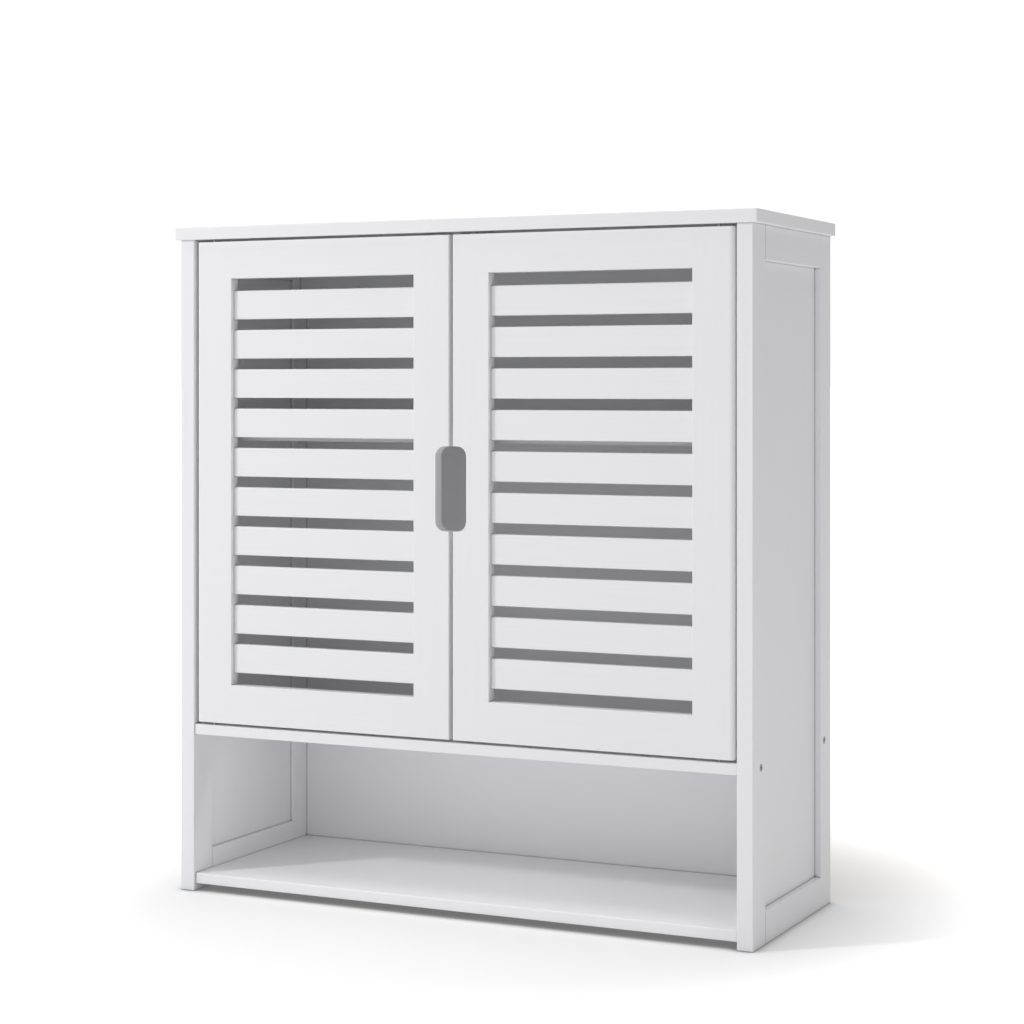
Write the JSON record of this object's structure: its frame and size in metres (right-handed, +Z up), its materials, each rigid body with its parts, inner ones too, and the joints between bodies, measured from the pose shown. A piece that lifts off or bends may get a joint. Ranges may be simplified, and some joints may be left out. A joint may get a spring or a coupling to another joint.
{
  "type": "hanging wall cabinet",
  "caption": "Shallow white wooden wall cabinet with louvred double doors on pivot pins, an inner shelf and an open bay below.",
  "frame": {"origin": "centre of the overall width and depth, on the plane of the side frames' feet", "axes": "+X to the right seen from the front, -Y out of the doors, +Y to the wall, +Z up"},
  "size_m": [0.6, 0.21, 0.64],
  "materials": {
    "painted_wood": "white satin paint on wood, grain just showing",
    "painted_backboard": "thin fibreboard, white lacquer, matte",
    "raw_beech": "unfinished turned beech",
    "painted_screw": "bright zinc plated steel with a crosshead",
    "zinc_steel": "zinc plated steel",
    "nickel_steel": "nickel plated steel",
    "zinc_casting": "die cast zinc, slightly grainy",
    "white_nylon": "moulded nylon, matte",
    "white_plastic": "moulded ABS, fine texture",
    "ferrite": "sintered ferrite, ground flat"
  },
  "bodies": {
    "cabinet": {"back_panel": "painted_backboard", "back_panel_nails": "zinc_steel", "bottom_shelf": "painted_wood", "cam_bolts": "zinc_steel", "cam_locks": "zinc_casting", "catch_housing": "white_plastic", "catch_magnets": "ferrite", "catch_screws": "zinc_steel", "hanging_rail": "painted_wood", "inner_shelf": "painted_wood", "left_back_stile": "painted_wood", "left_bottom_rail": "painted_wood", "left_front_stile": "painted_wood", "left_side_panel": "painted_wood", "left_top_rail": "painted_wood", "middle_shelf": "painted_wood", "pivot_bushes": "white_nylon", "right_back_stile": "painted_wood", "right_bottom_rail": "painted_wood", "right_front_stile": "painted_wood", "right_side_panel": "painted_wood", "right_top_rail": "painted_wood", "shelf_pins": "nickel_steel", "shelf_screws": "painted_screw", "top_board": "painted_wood", "wood_dowels": "raw_beech"},
    "left_door": {"left_door_bottom_rail": "painted_wood", "left_door_top_rail": "painted_wood", "left_hinge_stile": "painted_wood", "left_lock_stile": "painted_wood", "left_pivot_pins": "nickel_steel", "left_slat_01": "painted_wood", "left_slat_02": "painted_wood", "left_slat_03": "painted_wood", "left_slat_04": "painted_wood", "left_slat_05": "painted_wood", "left_slat_06": "painted_wood", "left_slat_07": "painted_wood", "left_slat_08": "painted_wood", "left_slat_09": "painted_wood", "left_slat_10": "painted_wood", "left_strike_plate": "nickel_steel"},
    "right_door": {"right_door_bottom_rail": "painted_wood", "right_door_top_rail": "painted_wood", "right_hinge_stile": "painted_wood", "right_lock_stile": "painted_wood", "right_pivot_pins": "nickel_steel", "right_slat_01": "painted_wood", "right_slat_02": "painted_wood", "right_slat_03": "painted_wood", "right_slat_04": "painted_wood", "right_slat_05": "painted_wood", "right_slat_06": "painted_wood", "right_slat_07": "painted_wood", "right_slat_08": "painted_wood", "right_slat_09": "painted_wood", "right_slat_10": "painted_wood", "right_strike_plate": "nickel_steel"}
  },
  "joints": [
    {"name": "left_door_hinge", "type": "hinge", "parent": "cabinet", "child": "left_door", "pos_m": [-0.261, -0.095, 0.3945], "axis": [0, 0, -1], "range_deg": [0, 140]},
    {"name": "right_door_hinge", "type": "hinge", "parent": "cabinet", "child": "right_door", "pos_m": [0.261, -0.095, 0.3945], "axis": [0, 0, 1], "range_deg": [0, 140]}
  ]
}
